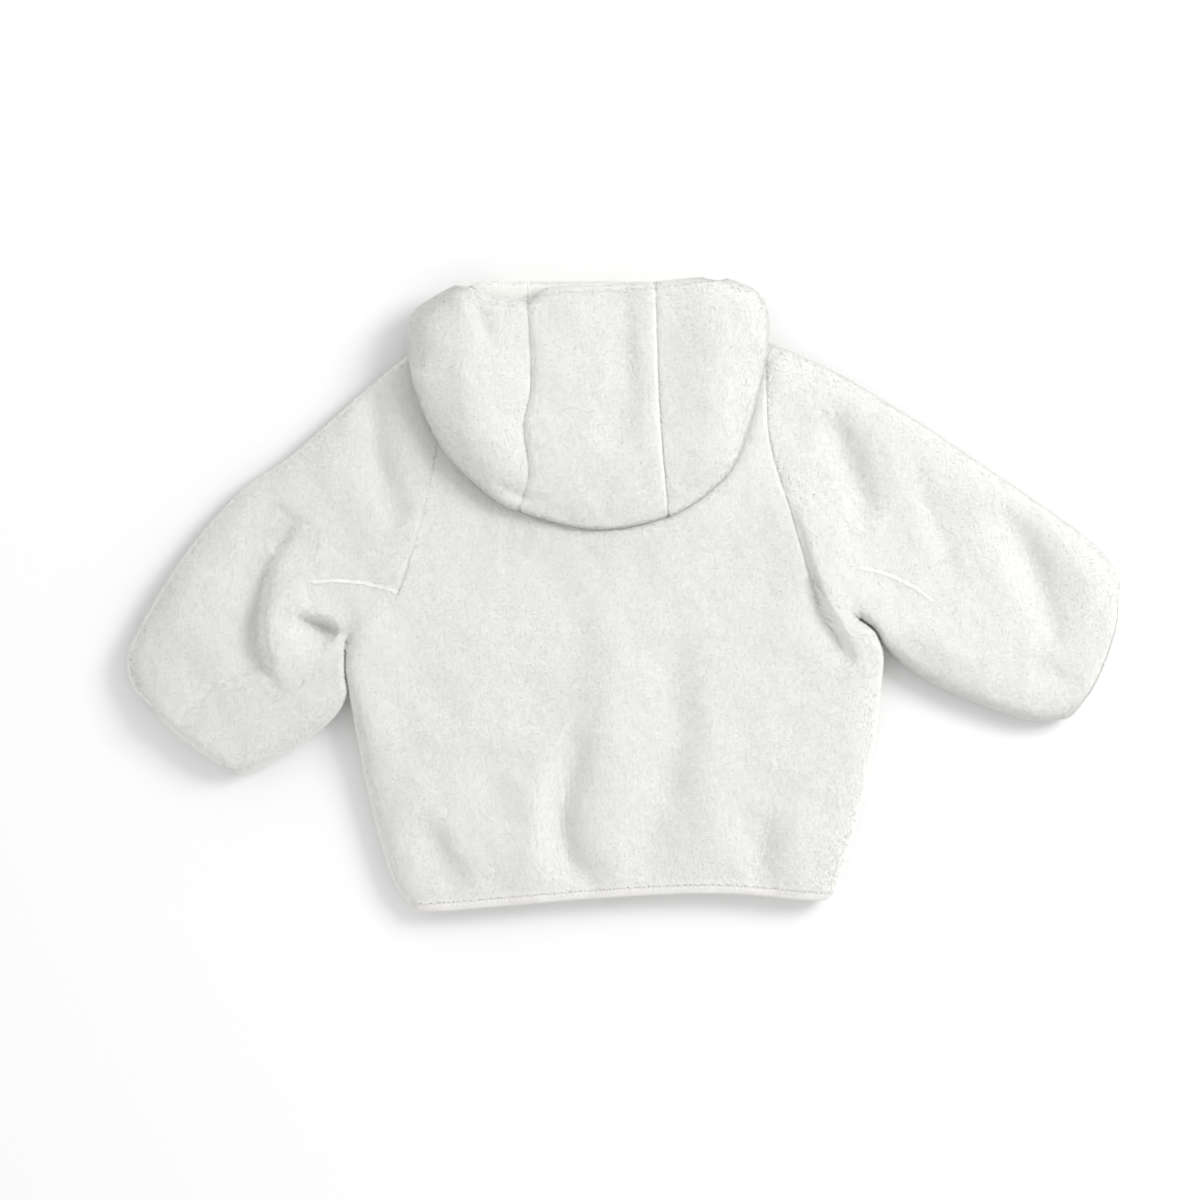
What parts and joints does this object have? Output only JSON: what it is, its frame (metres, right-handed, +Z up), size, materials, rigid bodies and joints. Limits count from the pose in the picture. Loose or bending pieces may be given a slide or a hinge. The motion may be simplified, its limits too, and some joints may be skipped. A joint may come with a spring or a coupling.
{
  "type": "parka",
  "caption": "Baby's plush hooded jacket laid flat, face down, with its three-panel hood folded onto its back, set-in sleeves and bound hem and cuffs.",
  "frame": {"origin": "centre of the footprint's bounding box, on the surface the jacket lies on", "axes": "+X towards the wearer's right sleeve, +Y from the hem to the neck, +Z up from the surface, out of the jacket's back"},
  "size_m": [0.5346, 0.3417, 0.0405],
  "materials": {
    "plush": "off-white short-pile plush fleece",
    "binding": "smooth off-white stretch binding",
    "zip": "off-white moulded zip"
  },
  "bodies": {
    "root": {"back": "plush", "front_left": "plush", "front_right": "plush", "sleeve_left": "plush", "sleeve_right": "plush", "hood_side_left": "plush", "hood_centre": "plush", "hood_side_right": "plush", "neck_stand": "plush", "hem_binding": "binding", "cuff_binding_left": "binding", "cuff_binding_right": "binding", "zip": "zip", "zip_slider": "zip"}
  },
  "joints": []
}
